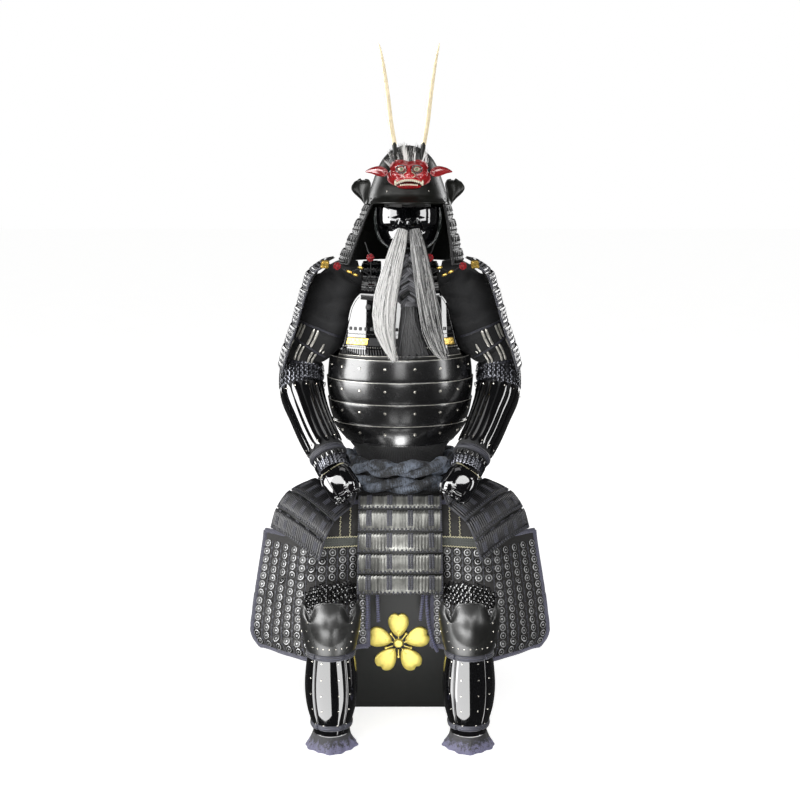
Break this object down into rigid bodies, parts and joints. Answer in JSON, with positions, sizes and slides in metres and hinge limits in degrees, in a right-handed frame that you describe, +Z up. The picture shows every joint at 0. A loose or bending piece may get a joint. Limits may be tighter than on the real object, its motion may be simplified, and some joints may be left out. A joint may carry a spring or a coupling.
{
  "type": "samurai armour on its armour box",
  "caption": "Samurai armour seated on its armour box: crested helmet, face mask, riveted cuirass, shoulder, sleeve, thigh and shin guards, all hollow.",
  "frame": {"origin": "centre of the armour box's underside, on the floor", "axes": "+Z up; the armour faces -Y; the wearer's left is +X"},
  "size_m": [0.754, 0.7353, 1.6844],
  "materials": {
    "black_lacquer": "mirror-gloss black lacquer over iron or hide plates",
    "satin_lacquer": "satin black lacquer over wood",
    "red_lacquer": "gloss red lacquer over carved wood",
    "gilt_metal": "gilt thin metal, satin",
    "black_cloth": "woven black cloth under small lacquered plates",
    "navy_cord": "braided dark navy cord",
    "belt_cloth": "twisted blue-grey figured cloth",
    "dark_hair": "dark horsehair",
    "pale_hair": "pale grey horsehair",
    "pine_wood": "plain sanded softwood"
  },
  "bodies": {
    "root": {"box_body": "satin_lacquer", "box_lid": "satin_lacquer", "stand_foot": "pine_wood", "stand_post": "pine_wood", "stand_shoulder_bar": "pine_wood", "stand_head": "pine_wood", "helmet_bowl": "black_lacquer", "helmet_peak": "black_lacquer", "neck_guard": "black_lacquer", "turn_back_left": "black_lacquer", "turn_back_right": "black_lacquer", "crest_face": "red_lacquer", "crest_ear_left": "red_lacquer", "crest_ear_right": "red_lacquer", "crest_horn_left": "gilt_metal", "crest_horn_right": "gilt_metal", "crest_fur": "dark_hair", "face_mask": "black_lacquer", "throat_guard": "black_lacquer", "moustache_left": "pale_hair", "moustache_right": "pale_hair", "chest_knot": "navy_cord", "chest_tassel": "dark_hair", "cuirass_front": "black_lacquer", "cuirass_back": "black_lacquer", "chest_plate": "black_lacquer", "back_plate": "black_lacquer", "shoulder_strap_left": "black_lacquer", "shoulder_strap_right": "black_lacquer", "shoulder_guard_left": "black_lacquer", "shoulder_guard_right": "black_lacquer", "sleeve_left": "black_cloth", "sleeve_right": "black_cloth", "forearm_left": "black_cloth", "forearm_right": "black_cloth", "hand_guard_left": "black_lacquer", "hand_guard_right": "black_lacquer", "waist_laces": "black_cloth", "belt_upper": "belt_cloth", "belt_lower": "belt_cloth", "skirt_front": "black_lacquer", "skirt_thigh_left": "black_lacquer", "skirt_thigh_right": "black_lacquer", "skirt_side_left": "black_lacquer", "skirt_side_right": "black_lacquer", "skirt_back_left": "black_lacquer", "skirt_back_right": "black_lacquer", "thigh_guard_left": "black_cloth", "thigh_guard_right": "black_cloth", "knee_plate_left": "black_lacquer", "shin_guard_left": "black_lacquer", "ankle_hem_left": "black_cloth", "knee_plate_right": "black_lacquer", "shin_guard_right": "black_lacquer", "ankle_hem_right": "black_cloth", "tie_left_long": "navy_cord", "tie_left_short": "navy_cord", "tie_right_long": "navy_cord", "tie_right_short": "navy_cord"}
  },
  "joints": []
}
